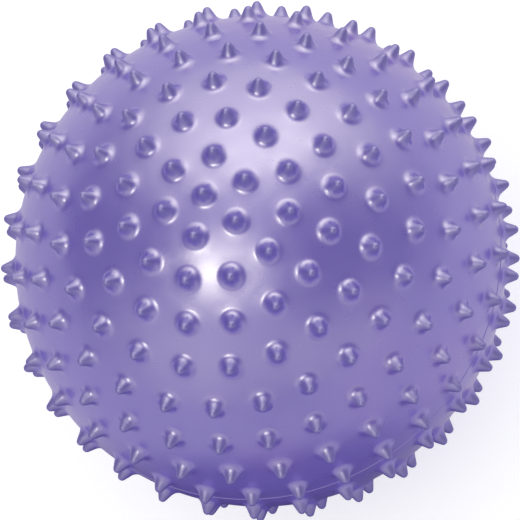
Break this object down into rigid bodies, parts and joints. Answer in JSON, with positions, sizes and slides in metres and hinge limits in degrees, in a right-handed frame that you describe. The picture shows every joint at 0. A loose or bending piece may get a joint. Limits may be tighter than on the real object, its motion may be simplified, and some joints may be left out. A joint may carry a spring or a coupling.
{
  "type": "sensory ball",
  "caption": "Hollow soft vinyl ball covered in rings of small cone-shaped nubs, with an air valve and pull-out plug.",
  "frame": {"origin": "centre of the ball, on the axis of its mould and in the plane of the mould line", "axes": "+Z along the mould's axis to the nub at the top pole, opposite the valve; -Y towards the first nub of most rings"},
  "size_m": [0.179, 0.1788, 0.1787],
  "materials": {
    "skin": "soft glossy purple vinyl",
    "collar": "satin purple vinyl, a little paler than the skin",
    "plug": "satin off-white polyethylene"
  },
  "bodies": {
    "ball": {"ball_skin": "skin", "valve_collar": "collar"},
    "plug": {"valve_plug": "plug"}
  },
  "joints": [
    {"name": "plug_pull", "type": "slide", "parent": "ball", "child": "plug", "axis": [0, 0, -1], "range_m": [0, 0.03]}
  ]
}
